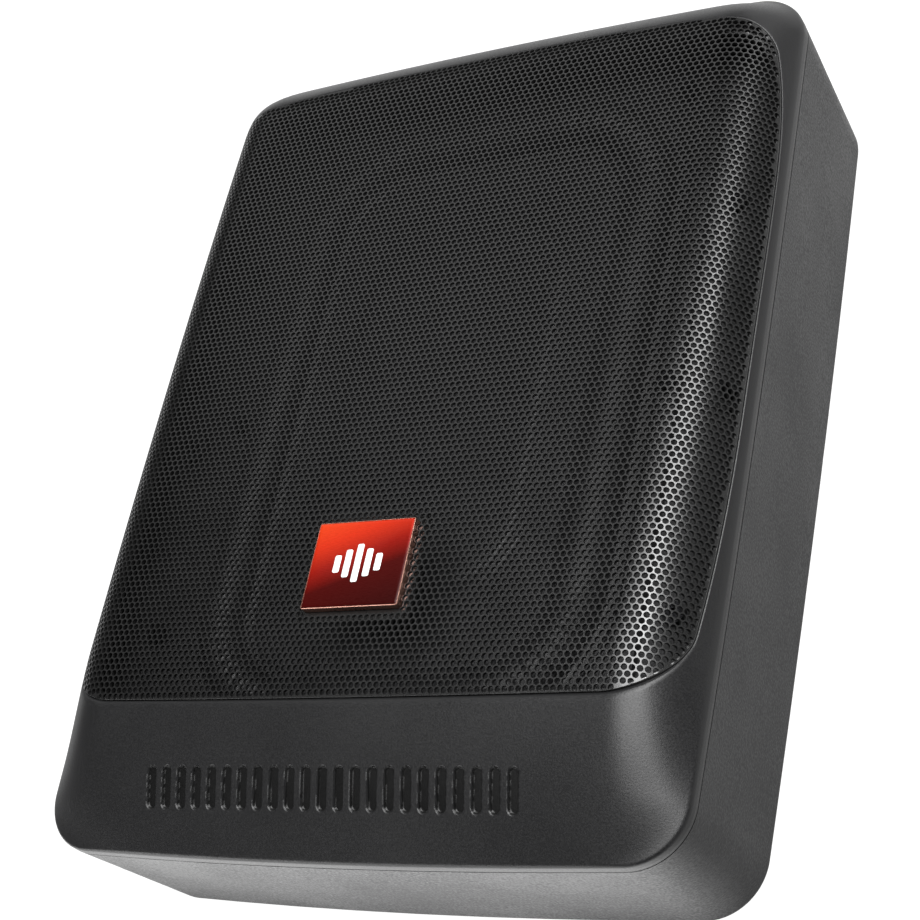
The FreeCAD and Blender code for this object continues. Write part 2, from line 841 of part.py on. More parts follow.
under_dome_shallow = under_dome(pattern_depth)

makers = {
    "rear_tub": rear_tub, "front_cover": front_cover, "cover_gasket": cover_gasket, "grille": grille,
    "badge_tray": badge_tray, "badge_plate": badge_plate, "badge_emblem": badge_emblem,
    "cover_screws": cover_screws, "bracket_inserts": bracket_inserts,
    "baffle": baffle, "baffle_screws": baffle_screws,
    "driver_gasket": driver_gasket, "driver_frame": driver_frame, "driver_screws": driver_screws,
    "surround": roll_ring, "diaphragm": diaphragm, "centre_panel": centre_panel,
    "coil_former": coil_former, "voice_coil": voice_coil, "spider": spider,
    "top_plate": top_plate, "magnet_ring": magnet_ring, "yoke": yoke,
    "terminal_strip": terminal_strip, "tinsel_leads": tinsel_leads,
    "amp_board": amp_board, "board_spacers": board_spacers, "board_screws": board_screws,
    "supply_capacitors": supply_capacitors, "output_choke": output_choke,
    "power_transformer": power_transformer, "power_transistors": power_transistors,
    "heat_spreader": heat_spreader, "transistor_clamp": transistor_clamp, "clamp_screw": clamp_screw,
    "speaker_leads": speaker_leads,
    "control_panel": control_panel, "panel_screws": panel_screws, "power_socket": power_socket,
    "input_jacks": input_jacks, "jack_insulators": jack_insulators,
    "high_level_socket": high_level_socket, "remote_socket": remote_socket,
    "level_pot": level_pot, "level_knob": level_knob,
    "crossover_pot": crossover_pot, "crossover_knob": crossover_knob,
    "phase_switch": phase_switch, "phase_slider": phase_slider,
    "mode_switch": mode_switch, "mode_slider": mode_slider,
    "fuse_holder": fuse_holder, "fuse": fuse, "power_lamp": power_lamp,
}

os.makedirs("parts", exist_ok=True)
for name, maker in makers.items():
    shape = maker()
    shape.exportStep(os.path.join("parts", name + ".step"))
    box = shape.BoundBox
    print(
        f"{name:20s} valid {shape.isValid()} solids {len(shape.Solids)} volume {shape.Volume:10.1f}"
        f" x {box.XMin:.1f} {box.XMax:.1f} y {box.YMin:.1f} {box.YMax:.1f} z {box.ZMin:.1f} {box.ZMax:.1f}")
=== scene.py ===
import bpy
import json
import math
import numpy as np
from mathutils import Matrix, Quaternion, Vector


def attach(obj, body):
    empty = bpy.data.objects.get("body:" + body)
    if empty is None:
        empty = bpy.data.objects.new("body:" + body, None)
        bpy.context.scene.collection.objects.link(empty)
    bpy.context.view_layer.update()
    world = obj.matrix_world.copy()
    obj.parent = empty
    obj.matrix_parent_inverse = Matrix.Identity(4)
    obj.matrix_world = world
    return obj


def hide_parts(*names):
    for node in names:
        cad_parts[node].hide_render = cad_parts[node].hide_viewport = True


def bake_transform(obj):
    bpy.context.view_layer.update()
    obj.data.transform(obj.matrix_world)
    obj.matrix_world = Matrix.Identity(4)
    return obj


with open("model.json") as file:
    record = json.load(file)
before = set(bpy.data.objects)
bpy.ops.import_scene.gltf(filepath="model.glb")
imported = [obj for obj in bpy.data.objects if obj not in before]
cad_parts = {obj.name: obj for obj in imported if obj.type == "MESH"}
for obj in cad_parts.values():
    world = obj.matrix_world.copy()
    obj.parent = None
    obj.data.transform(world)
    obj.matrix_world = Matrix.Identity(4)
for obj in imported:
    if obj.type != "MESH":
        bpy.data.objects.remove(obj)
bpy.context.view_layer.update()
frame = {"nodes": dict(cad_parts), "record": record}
nodes = frame["nodes"]
mm = 0.001

# ---------------------------------------------------------------- sizes of the part, in millimetres
width, length = 194.5, 260.0
side_bow, end_bow, corner_radius = 1.2, 2.3, 16.5
cover_bottom, skirt_bottom, lip_top = 48.8, 48.2, 51.7
dome_rise, crown_drop = 15.65, 1.2
shoulder_width, shoulder_power = 20.0, 2.3
band_run, band_power = 55.0, 1.8
far_run, far_power = 23.0, 2.4
near_radius, far_radius = 19.0, 12.0
driver_y = 5.0


# ---------------------------------------------------------------- materials
def new_material(name):
    material = bpy.data.materials.new(name)
    material.use_nodes = True
    tree = material.node_tree
    return material, tree, tree.nodes["Principled BSDF"]


def link(tree, a, b):
    tree.links.new(a, b)


def noise(tree, coords, scale, detail=3.0, roughness=0.5):
    node = tree.nodes.new("ShaderNodeTexNoise")
    node.inputs["Scale"].default_value = scale
    node.inputs["Detail"].default_value = detail
    node.inputs["Roughness"].default_value = roughness
    link(tree, coords, node.inputs["Vector"])
    return node.outputs["Fac"]


def object_coords(tree, stretch=(1, 1, 1)):
    coords = tree.nodes.new("ShaderNodeTexCoord")
    mapping = tree.nodes.new("ShaderNodeMapping")
    mapping.inputs["Scale"].default_value = stretch
    link(tree, coords.outputs["Object"], mapping.inputs["Vector"])
    return mapping.outputs["Vector"]


def ramp(tree, value, stops):
    node = tree.nodes.new("ShaderNodeValToRGB")
    node.color_ramp.elements.remove(node.color_ramp.elements[1])
    for i, (at, colour) in enumerate(stops):
        stop = node.color_ramp.elements[0] if i == 0 else node.color_ramp.elements.new(at)
        stop.position = at
        stop.color = (*colour, 1)
    link(tree, value, node.inputs["Fac"])
    return node.outputs["Color"]


def remap(tree, value, low, high, source=(0.3, 0.7)):
    node = tree.nodes.new("ShaderNodeMapRange")
    node.inputs["From Min"].default_value, node.inputs["From Max"].default_value = source
    node.inputs["To Min"].default_value, node.inputs["To Max"].default_value = low, high
    link(tree, value, node.inputs["Value"])
    return node.outputs["Result"]


def bump(tree, bsdf, height, distance, strength=1.0):
    node = tree.nodes.new("ShaderNodeBump")
    node.inputs["Distance"].default_value = distance
    node.inputs["Strength"].default_value = strength
    link(tree, height, node.inputs["Height"])
    link(tree, node.outputs["Normal"], bsdf.inputs["Normal"])


def surface(name, dark, light, rough=(0.4, 0.5), metal=0.0, patch=60.0, grain=2500.0, depth=0.00002,
            stretch=(1, 1, 1), coat=0.0, specular=0.5):
    """A procedural finish: slow colour and roughness variation with a fine grain on top."""
    material, tree, bsdf = new_material(name)
    coords = object_coords(tree, stretch)
    slow = noise(tree, coords, patch)
    fine = noise(tree, coords, grain, 2.0)
    mixed = tree.nodes.new("ShaderNodeMath")
    mixed.operation = "ADD"
    link(tree, remap(tree, slow, 0.0, 0.35), mixed.inputs[0])
    link(tree, remap(tree, fine, 0.0, 0.65), mixed.inputs[1])
    link(tree, ramp(tree, mixed.outputs[0], [(0.0, dark), (1.0, light)]), bsdf.inputs["Base Color"])
    link(tree, remap(tree, mixed.outputs[0], rough[0], rough[1], (0.2, 0.8)), bsdf.inputs["Roughness"])
    bump(tree, bsdf, fine, depth)
    bsdf.inputs["Metallic"].default_value = metal
    bsdf.inputs["Coat Weight"].default_value = coat
    bsdf.inputs["Coat Roughness"].default_value = 0.08
    bsdf.inputs["Specular IOR Level"].default_value = specular
    return material


# ---------------------------------------------------------------- mesh helpers
def make_piece(name, verts, faces, materials, body, replaced=(), indices=None, sharp=40.0):
    mesh = bpy.data.meshes.new(name)
    mesh.from_pydata([tuple(v) for v in np.asarray(verts, float) * mm], [], [tuple(f) for f in faces])
    for material in materials:
        mesh.materials.append(material)
    mesh.polygons.foreach_set("use_smooth", np.ones(len(mesh.polygons), bool))
    if indices is not None:
        mesh.polygons.foreach_set("material_index", np.asarray(indices, np.int32))
    mesh.update()
    mesh.set_sharp_from_angle(angle=math.radians(sharp))
    piece = bpy.data.objects.new(name, mesh)
    bpy.context.scene.collection.objects.link(piece)
    if body:
        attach(piece, body)
    if replaced:
        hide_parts(*replaced)
    return piece


def strip_faces(rows, columns, first=0, closed=True):
    """Quads between neighbouring rows of a grid whose columns go round a closed loop."""
    r = np.arange(rows - 1)[:, None] * columns
    c = np.arange(columns if closed else columns - 1)[None, :]
    n = (c + 1) % columns
    quads = np.stack([r + c, r + n, r + columns + n, r + columns + c], -1)
    return quads.reshape(-1, 4) + first


def rounded_loop(half_x, half_y, radius, centre_y, side=24, corner=16):
    """Points and outward normals round a rounded rectangle, anticlockwise from its -Y side."""
    corners = [(1, -1, -90), (1, 1, 0), (-1, 1, 90), (-1, -1, 180)]
    points, normals = [], []
    for k, (sx, sy, start) in enumerate(corners):
        cx, cy = sx * (half_x - radius), centre_y + sy * (half_y - radius)
        px, py = corners[k - 1][0] * (half_x - radius), centre_y + corners[k - 1][1] * (half_y - radius)
        nx, ny = math.cos(math.radians(start)), math.sin(math.radians(start))
        for t in np.arange(side) / side:
            points.append((px + (cx - px) * t + radius * nx, py + (cy - py) * t + radius * ny))
            normals.append((nx, ny))
        for t in np.arange(corner) / corner:
            a = math.radians(start + 90 * t)
            points.append((cx + radius * math.cos(a), cy + radius * math.sin(a)))
            normals.append((math.cos(a), math.sin(a)))
    return np.array(points), np.array(normals)


# ---------------------------------------------------------------- the domed front
def cover_side(y):
    """Half the cover's width at y, before its corners."""
    return width / 2 - side_bow * (y / (length / 2)) ** 2


def cover_end(x, sign):
    """The y of the cover's -Y or +Y end at x, before its corners."""
    return sign * (length / 2 - end_bow * (x / (width / 2)) ** 2)


def opening_side(y):
    near = 2.0 * np.clip(-(y + 5) / 67.0, 0, 2) ** 2.5
    far = 3.1 * np.clip((y + 5) / 105.0, 0, 2) ** 6
    return 95.75 - near - far


def opening_end(x, sign):
    if sign < 0:
        return -91.0 + 0.5 * (x / 75.0) ** 2
    return 115.3 - 3.5 * (x / 80.6) ** 4


def solve_corner(side, end, radius, sign):
    """Centre of a corner arc tangent to a side and an end, and the angles and points where it meets them."""
    x1, y1, e = 78.0, sign * 90.0, 0.01
    for _ in range(80):
        ns = np.array([1.0, -(side(y1 + e) - side(y1 - e)) / (2 * e)])
        ne = np.array([-(end(x1 + e, sign) - end(x1 - e, sign)) / (2 * e), 1.0]) * sign
        ns, ne = ns / np.linalg.norm(ns), ne / np.linalg.norm(ne)
        cx, cy = side(y1) - radius * ns[0], end(x1, sign) - radius * ne[1]
        x1, y1 = cx + radius * ne[0], cy + radius * ns[1]
    return cx, cy, math.atan2(ns[1], ns[0]), math.atan2(ne[1], ne[0]), x1, y1


def outline(side, end, radii, steps):
    """Points and outward normals, anticlockwise from the -Y end.

    steps holds, for each side, the shares along it and along the corner arc that follows it.
    """
    near = solve_corner(side, end, radii[0], -1)
    far = solve_corner(side, end, radii[1], 1)
    runs = []
    for k, (shares, turns) in enumerate(steps):
        shares, turns = np.asarray(shares), np.asarray(turns)
        if k in (0, 2):
            corner, sign = (near, -1) if k == 0 else (far, 1)
            x = corner[4] * (2 * shares - 1) * -sign
            runs.append(np.c_[x, end(x, sign)])
        else:
            sign = 1 if k == 1 else -1
            y = near[5] + (far[5] - near[5]) * (shares if k == 1 else 1 - shares)
            runs.append(np.c_[sign * side(y), y])
        corner = near if k in (0, 3) else far
        first, last = (corner[3], corner[2]) if k in (0, 2) else (corner[2], corner[3])
        a = first + (last - first) * turns
        mirror = 1 if k in (0, 1) else -1
        r = radii[0] if k in (0, 3) else radii[1]
        runs.append(np.c_[mirror * (corner[0] + r * np.cos(a)), corner[1] + r * np.sin(a)])
    points = np.concatenate(runs)
    along = np.roll(points, -1, 0) - np.roll(points, 1, 0)
    normals = np.c_[along[:, 1], -along[:, 0]]
    return points, normals / np.linalg.norm(normals, axis=1, keepdims=True)


def cover_outline(steps):
    return outline(cover_side, cover_end, (corner_radius, corner_radius), steps)


def opening_outline(steps):
    return outline(opening_side, opening_end, (near_radius, far_radius), steps)


arc_x, arc_y = solve_corner(cover_side, cover_end, corner_radius, 1)[:2]


def half_width(y):
    """Half the cover's width at y, corners included."""
    base = cover_side(y)
    past = np.clip(np.abs(y) - arc_y, 0, corner_radius)
    arc = arc_x + np.sqrt(corner_radius ** 2 - past ** 2)
    return np.where(past > 0, np.minimum(base, arc), base)


def roll(share, power):
    """Rises from 0 to 1 across a rolled edge, steeply at first."""
    return 1 - (1 - np.clip(share, 0, 1)) ** power


def dome_height(x, y):
    """Height of the domed front, carried on across the grille opening."""
    x, y = np.asarray(x, float), np.asarray(y, float)
    across = roll((half_width(y) - np.abs(x)) / shoulder_width, shoulder_power)
    near = roll((cover_end(x, 1) + y) / band_run, band_power)
    far = roll((cover_end(x, 1) - y) / far_run, far_power)
    crown = crown_drop * ((y + 20) / 110.0) ** 2
    return lip_top + across * np.where(y < 0, near, far) * (dome_rise - crown)


def dome_normal(x, y, e=0.05):
    dx = (dome_height(x + e, y) - dome_height(x - e, y)) / (2 * e)
    dy = (dome_height(x, y + e) - dome_height(x, y - e)) / (2 * e)
    n = np.stack([-dx, -dy, np.ones_like(dx)], -1)
    return n / np.linalg.norm(n, axis=-1, keepdims=True)


# ---------------------------------------------------------------- front cover
pattern_x, pattern_y, pattern_pitch, pattern_bar = -2.0, -112.8, 5.0, 3.0
pattern_height, pattern_count, pattern_depth = 10.8, 23, 0.8
band_limit = -100.0       # the pattern lies wholly on the -Y side of this
skirt_round, lip_fillet = 0.25, 0.9


def pattern_distance(x, y):
    """Distance to the nearest round-ended bar of the band's pattern, negative inside."""
    r = pattern_bar / 2
    first = pattern_x - (pattern_count - 1) / 2 * pattern_pitch
    index = np.clip(np.round((x - first) / pattern_pitch), 0, pattern_count - 1)
    up = np.maximum(np.abs(y - pattern_y) - (pattern_height / 2 - r), 0)
    return np.hypot(x - first - index * pattern_pitch, up) - r


def smooth(a, b, x):
    t = np.clip((x - a) / (b - a), 0, 1)
    return t * t * (3 - 2 * t)


def cover_rows(steps):
    """The cover's skin as rows of points, from the groove over the lip and dome to the grille opening."""
    outer, n_out = cover_outline(steps)
    inner, n_in = opening_outline(steps)
    near = smooth(0.3, 0.95, -n_in[:, 1])
    chamfer = (0.3 + 0.6 * near)[:, None]
    slope = 0.4 * near - 0.55 * n_in[:, 0] ** 2
    rows = []
    skirt_start, fillet_start = skirt_bottom + skirt_round, lip_top - lip_fillet
    skirt = [(3.3, cover_bottom), (1.05, cover_bottom), (0.95, skirt_bottom + 0.1), (0.8, skirt_bottom),
             (skirt_round, skirt_bottom), (0.0, skirt_start), (0.0, (skirt_start + fillet_start) / 2)]
    for inset, z in skirt:
        rows.append(np.c_[outer - n_out * inset, np.full(len(outer), z)])
    top = outer - n_out * lip_fillet
    top_z = dome_height(top[:, 0], top[:, 1])
    for t in np.linspace(0, 1, 7):
        inset = lip_fillet * t * t
        z = fillet_start * (1 - t) ** 2 + lip_top * 2 * t * (1 - t) + top_z * t * t
        rows.append(np.c_[outer - n_out * inset, z])
    edge = inner + n_in * chamfer
    shares = np.concatenate([np.linspace(0.02, 0.24, 9), np.linspace(0.24, 0.66, 66)[1:],
                             np.linspace(0.66, 1, 11)[1:]])
    for t in shares:
        p = top * (1 - t) + edge * t
        rows.append(np.c_[p, dome_height(p[:, 0], p[:, 1])])
    edge_z = rows[-1][:, 2]
    for t in (0.15, 0.5, 0.85):
        p = edge * (1 - t) + inner * t
        rows.append(np.c_[p, edge_z - chamfer[:, 0] * slope * t])
    rim_z = edge_z - chamfer[:, 0] * slope
    for inset, drop in ((0.05, 0.1), (0.1, 2.2), (0.3, 2.6), (3.0, 2.7)):
        rows.append(np.c_[inner - n_in * inset, rim_z - drop])
    return np.array(rows)


def build_cover(skin, pattern):
    far_steps = np.arange(60) / 60
    end_x = solve_corner(cover_side, cover_end, corner_radius, -1)[4]
    left, right = -61, 57     # the pattern's stretch of the -Y end, which needs close columns
    fine = np.concatenate([np.linspace(-end_x, left, 12)[:-1], np.arange(left, right, 0.25),
                           np.linspace(right, end_x, 13)[:-1]])
    near_steps = (fine + end_x) / (2 * end_x)
    turn = np.arange(28) / 28
    steps = [(near_steps, turn), (far_steps, turn), (far_steps, turn), (far_steps, turn)]
    rows = cover_rows(steps)
    d = pattern_distance(rows[:, :, 0], rows[:, :, 1])
    normal = dome_normal(rows[:, :, 0], rows[:, :, 1])
    sunk = (pattern_depth * (1 - smooth(-0.4, 0.1, d)))[:, :, None]
    sunk = np.where(rows[:, :, 1:2] < band_limit, sunk, 0)
    rows = rows - normal * sunk
    count, columns = rows.shape[:2]
    faces = strip_faces(count, columns)
    d_face = d.reshape(-1)[faces].mean(1)
    y_face = rows.reshape(-1, 3)[faces][:, :, 1].mean(1)
    marks = ((d_face < -0.1) & (y_face < band_limit)).astype(int)
    return make_piece("cover_shell", rows.reshape(-1, 3), faces, [skin, pattern], "enclosure",
                      ["front_cover"], marks, sharp=48)


# ---------------------------------------------------------------- perforated grille
pitch_x, pitch_y, hole_radius, sheet = 1.9, 1.66, 0.82, 0.9
badge_half_x, badge_half_y, badge_y = 15.0, 12.5, -54.7
border = 0.2
hole_sides = 12
# Inset from the opening's edge and drop below the dome of each loop of the hem
hem_profile = [(1.0, 1.0), (0.5, 0.95), (0.32, 0.8), (0.28, 0.5), (0.26, 0.1), (0.2, 0.02), (0.14, 0.1),
               (0.12, 0.4), (0.12, 3.0)]
hem_steps = [(np.arange(90) / 90, np.arange(36) / 36)] * 4
hem_line, hem_normal = opening_outline(hem_steps)


def arc_table(profile, low, high):
    """Maps distance along a profile, measured from 0, to the plan coordinate."""
    plan = np.linspace(low, high, 6001)
    height = profile(plan)
    run = np.concatenate([[0], np.cumsum(np.hypot(np.diff(plan), np.diff(height)))])
    return run - np.interp(0.0, plan, run), plan


run_x, plan_x = arc_table(lambda x: dome_height(x, np.zeros_like(x)), -97.0, 97.0)
run_y, plan_y = arc_table(lambda y: dome_height(np.zeros_like(y), y), -129.0, 129.0)


def clamp_inside(x, y, inset):
    """Moves points beyond the grille's edge onto it. Says which ones moved, and how far outside each was."""
    line = hem_line - hem_normal * inset
    a, b = line, np.roll(line, -1, 0)
    edge = b - a
    size = (edge ** 2).sum(1)
    out = np.stack([edge[:, 1], -edge[:, 0]], -1) / np.sqrt(size)[:, None]
    nx, ny, away = x.copy(), y.copy(), np.full(len(x), -99.0)
    close = np.nonzero((np.abs(x) > 68) | (y < -84) | (y > 105))[0]
    for start in range(0, len(close), 4000):
        pick = close[start:start + 4000]
        p = np.stack([x[pick], y[pick]], -1)[:, None]
        t = np.clip(((p - a) * edge).sum(-1) / size, 0, 1)
        foot = a + edge * t[..., None]
        gap = np.hypot(*np.moveaxis(p - foot, -1, 0))
        best = gap.argmin(1)
        row = np.arange(len(pick))
        nearest = foot[row, best]
        side = ((p[:, 0] - nearest) * out[best]).sum(-1)
        away[pick] = np.where(side > 0, gap[row, best], -gap[row, best])
        moved = side > 0
        nx[pick[moved]], ny[pick[moved]] = nearest[moved, 0], nearest[moved, 1]
    return nx, ny, away > 0, away


def surface_point(u, v, depth, inset):
    x, y = np.interp(u, run_x, plan_x), np.interp(v, run_y, plan_y)
    x, y, outside, _ = clamp_inside(x, y, inset)
    n = dome_normal(x, y)
    return np.stack([x, y, dome_height(x, y)], -1) - n * depth, outside


def build_grille(paint):
    """Round holes in staggered cells. A hole's ring joins its cell's outline, and its wall goes down."""
    rows = np.arange(-70, 90)
    cols = np.arange(-62, 63)
    j, i = np.meshgrid(rows, cols, indexing="ij")
    j, i = j.ravel(), i.ravel()
    ku, kv = 4 * i + 2 * (j % 2), 6 * j
    u, v = ku * pitch_x / 4, kv * pitch_y / 6
    inside = (u > run_x[0]) & (u < run_x[-1]) & (v > run_y[0]) & (v < run_y[-1])
    x, y = np.interp(u, run_x, plan_x), np.interp(v, run_y, plan_y)
    away = clamp_inside(x, y, border)[3]
    in_badge = (np.abs(x) < badge_half_x + 0.9) & (np.abs(y - badge_y) < badge_half_y + 0.9)
    keep = inside & (away < 0.95) & ~in_badge
    ku, kv, u, v, away = ku[keep], kv[keep], u[keep], v[keep], away[keep]
    open_cell = away < -0.25
    offsets = np.array([(2, 0), (2, 2), (1, 3), (0, 4), (-1, 3), (-2, 2),
                        (-2, 0), (-2, -2), (-1, -3), (0, -4), (1, -3), (2, -2)])
    keys = np.stack([ku[:, None] + offsets[:, 0], kv[:, None] + offsets[:, 1]], -1).reshape(-1, 2)
    unique, index = np.unique(keys, axis=0, return_inverse=True)
    index = index.reshape(-1, hole_sides)
    turn = np.radians(np.arange(hole_sides) * (360 / hole_sides))
    ru = (u[:, None] + hole_radius * np.cos(turn)).ravel()
    rv = (v[:, None] + hole_radius * np.sin(turn)).ravel()
    web, web_out = surface_point(unique[:, 0] * pitch_x / 4, unique[:, 1] * pitch_y / 6, 0.0, border)
    ring, ring_out = surface_point(ru, rv, 0.0, border)
    lower, _ = surface_point(ru, rv, sheet, border)
    split = np.quantile(v, [0.0, 0.25, 0.5, 0.75, 1.0])
    for part in range(4):
        chosen = (v >= split[part]) & ((v < split[part + 1]) | (part == 3))
        used, local = np.unique(index[chosen], return_inverse=True)
        local = local.reshape(-1, hole_sides)
        blind = local[~open_cell[chosen]]
        cells = np.nonzero(chosen & open_cell)[0]
        n = len(cells)
        hole = (cells[:, None] * hole_sides + np.arange(hole_sides)).ravel()
        verts = np.concatenate([web[used], ring[hole], lower[hole]])
        a = local[open_cell[chosen]]
        b = len(used) + np.arange(n * hole_sides).reshape(-1, hole_sides)
        c = b + n * hole_sides
        a2, b2, c2 = np.roll(a, -1, 1), np.roll(b, -1, 1), np.roll(c, -1, 1)
        top = np.stack([a, a2, b2, b], -1).reshape(-1, 4)
        wall = np.stack([b, b2, c2, c], -1).reshape(-1, 4)
        out = np.concatenate([web_out[used], ring_out[hole], ring_out[hole]])
        top = top[~out[top].all(1)]
        wall = wall[~out[wall].all(1)]
        blind = [f for f in blind.tolist() if not out[f].all()]
        faces = np.concatenate([top, wall]).tolist() + blind
        make_piece(f"grille_mesh_{part + 1}", verts, faces, [paint], "enclosure",
                   ["grille"] if part == 0 else (), sharp=50)
    rim = []
    for inset, drop in hem_profile:
        p = hem_line - hem_normal * inset
        rim.append(np.c_[p, dome_height(p[:, 0], p[:, 1]) - drop])
    rim = np.array(rim)[::-1]
    make_piece("grille_hem", rim.reshape(-1, 3), strip_faces(len(rim), len(hem_line)), [paint], "enclosure",
               sharp=60)


# ---------------------------------------------------------------- badge
def box_loop(half_x, half_y, radius, z, corner=5):
    p, _ = rounded_loop(half_x, half_y, radius, badge_y, side=6, corner=corner)
    return np.c_[p, np.full(len(p), z)]


def stack(name, loops, materials, body, replaced=(), indices=None):
    """A solid with flat caps, from closed loops of equally many points, joined in order."""
    loops = np.array(loops)
    rows, columns = loops.shape[:2]
    faces = [tuple(f) for f in strip_faces(rows, columns)]
    marks = [0] * len(faces) if indices is None else [indices[k // columns] for k in range(len(faces))]
    faces += [tuple(range(columns))[::-1], tuple(range((rows - 1) * columns, rows * columns))]
    marks += [marks[0], marks[-1]]
    return make_piece(name, loops.reshape(-1, 3), faces, materials, body, replaced, marks)


# Outset from the badge's edge, corner radius and z of each loop
tray_profile = [(2.5, 1.0, 65.0), (2.5, 1.0, 65.9), (0.1, 0.6, 66.0), (0.0, 0.5, 66.2), (0.0, 0.5, 67.4),
                (0.0, 0.5, 68.35), (-0.12, 0.45, 68.48), (-0.2, 0.4, 68.48), (-0.26, 0.35, 68.4),
                (-0.3, 0.35, 68.0)]
plate_profile = [(-0.32, 0.35, 68.05), (-0.32, 0.35, 68.4), (-0.5, 0.3, 68.5), (-1.2, 0.3, 68.53)]
bar_heights, bar_pitch = [5.0, 8.0, 11.0, 8.0, 5.0], 3.2


def badge_loops(profile):
    return [box_loop(badge_half_x + outset, badge_half_y + outset, radius, z)
            for outset, radius, z in profile]


def build_badge(metal, paint, red, white):
    painted, bare = 1, 0      # places in the tray's list of materials
    stack("badge_frame", badge_loops(tray_profile), [metal, paint], "enclosure",
          ["badge_tray"], indices=[painted] * 3 + [bare] * 6)
    stack("badge_face", badge_loops(plate_profile), [red], "enclosure", ["badge_plate"])
    verts, faces = [], []
    for i, high in enumerate(bar_heights):
        x = (i - 2) * bar_pitch
        loop, _ = rounded_loop(1.0, high / 2, 0.5, 0, side=2, corner=6)
        first = len(verts)
        count = len(loop)
        for inset, z in ((0.0, 68.5), (0.0, 68.62), (0.08, 68.68)):
            shrink_x, shrink_y = 1 - inset / 0.9, 1 - inset / (high / 2)
            verts += [(x + p[0] * shrink_x, badge_y + p[1] * shrink_y, z) for p in loop]
        faces += [tuple(f) for f in strip_faces(3, count, first)]
        faces.append(tuple(range(first + 2 * count, first + 3 * count)))
    make_piece("badge_bars", verts, faces, [white], "enclosure", ["badge_emblem"])


# ---------------------------------------------------------------- driver's moving front
roll_radius, rib_depth, ribs_per_corner, roll_base = 7.4, 0.9, 11, 47.7


def surround_rows(angles):
    """Rows of the half roll at the given angles, with ribs round its corners."""
    side, corner = 30, 66
    loop, n = rounded_loop(56.0, 91.3, 30.0, driver_y, side=side, corner=corner)
    one_side = np.concatenate([np.full(side, -1.0), np.arange(corner) / corner])
    share = np.tile(one_side, 4)
    wave = 0.5 + 0.5 * np.cos(share * ribs_per_corner * 2 * math.pi)
    fade = np.clip(np.minimum(share, 1 - share) * 8, 0, 1)
    ribs = np.where(share >= 0, wave * fade, 0)
    rows = []
    for a in angles:
        window = math.sin(a) ** 0.5 if a > 0 else 0
        r = roll_radius - rib_depth * ribs * window
        p = loop + n * (r * math.cos(a))[:, None]
        rows.append(np.c_[p, roll_base + r * math.sin(a) * 1.02 + 0.5 * (a / math.pi)])
    return rows, loop, n


def build_surround(rubber):
    half = math.pi / 2
    rows, loop, n = surround_rows(np.linspace(0.0, half, 14))
    foot = np.c_[loop + n * 11.0, np.full(len(loop), 47.75)]
    foot_top = np.c_[loop + n * 10.8, np.full(len(loop), 48.3)]
    foot_in = np.c_[loop + n * 8.2, np.full(len(loop), 48.3)]
    outer = np.array([foot, foot_top, foot_in] + rows[1:])
    piece = make_piece("surround_outer", outer.reshape(-1, 3), strip_faces(len(outer), len(loop)), [rubber],
                       None, ["surround"], sharp=60)
    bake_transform(piece)
    rows, loop, n = surround_rows(np.linspace(half, math.pi, 14))
    lip = np.c_[loop - n * 10.0, np.full(len(loop), 48.75)]
    lip_in = np.c_[loop - n * 10.3, np.full(len(loop), 48.4)]
    inner = np.array(rows[:-1] + [np.c_[loop - n * 7.9, np.full(len(loop), 48.8)], lip, lip_in])
    make_piece("surround_inner", inner.reshape(-1, 3), strip_faces(len(inner), len(loop)), [rubber], "cone",
               sharp=60)


def loop_at(half_x, half_y, radius, z):
    p, _ = rounded_loop(half_x, half_y, radius, driver_y, side=24, corner=24)
    return np.c_[p, np.full(len(p), z)]


# Half width, half length, corner radius and z of each loop
cone_profile = [(45, 80, 22, 46.9), (52, 87.3, 26, 47.0), (52, 87.3, 26, 48.0), (50, 85.3, 25, 48.15),
                (44.5, 80, 23, 48.0), (41, 74, 22, 47.9), (36.5, 62.5, 21, 47.95), (35.4, 60.6, 20.5, 48.1)]
panel_profile = [(34.6, 59.6, 20, 48.05), (34.0, 59.0, 20, 48.4), (33.2, 58.2, 19.6, 49.4),
                 (32.4, 57.4, 19, 49.85), (31.2, 56.2, 18, 50.05), (26, 50, 15, 50.1), (20, 44, 12, 50.1)]


def build_cone(paper):
    stack("cone_body", [loop_at(*row) for row in cone_profile], [paper], "cone", ["diaphragm"])
    stack("cone_panel", [loop_at(*row) for row in panel_profile], [paper], "cone", ["centre_panel"])


# ---------------------------------------------------------------- seals, suspension and leads
def build_cover_gasket(material):
    line, n = cover_outline([(np.arange(40) / 40, np.arange(20) / 20)] * 4)
    profile = [(1.3, 48.02), (1.15, 48.2), (1.1, 48.4), (1.15, 48.6), (1.3, 48.78), (3.2, 48.78),
               (3.35, 48.6), (3.4, 48.4), (3.35, 48.2), (3.2, 48.02), (1.3, 48.02)]
    rows = np.array([np.c_[line - n * inset, np.full(len(line), z)] for inset, z in profile])
    make_piece("cover_seal", rows.reshape(-1, 3), strip_faces(len(rows), len(line)), [material],
               "enclosure", ["cover_gasket"], sharp=50)


def build_driver_gasket(material):
    outer = rounded_loop(73.0, 106.3, 22.0, driver_y)[0]
    hole = rounded_loop(66.0, 101.5, 39.0, driver_y)[0]
    across = hole - outer
    across /= np.linalg.norm(across, axis=1, keepdims=True)
    profile = [(outer, 0.1, 45.02), (outer, 0.0, 45.2), (outer, 0.0, 45.6), (outer, 0.1, 45.78),
               (hole, -0.1, 45.78), (hole, 0.0, 45.6), (hole, 0.0, 45.2), (hole, -0.1, 45.02),
               (outer, 0.1, 45.02)]
    rows = np.array([np.c_[line + across * inset, np.full(len(line), z)] for line, inset, z in profile])
    make_piece("driver_seal", rows.reshape(-1, 3), strip_faces(len(rows), len(outer)), [material],
               "enclosure", ["driver_gasket"], sharp=50)


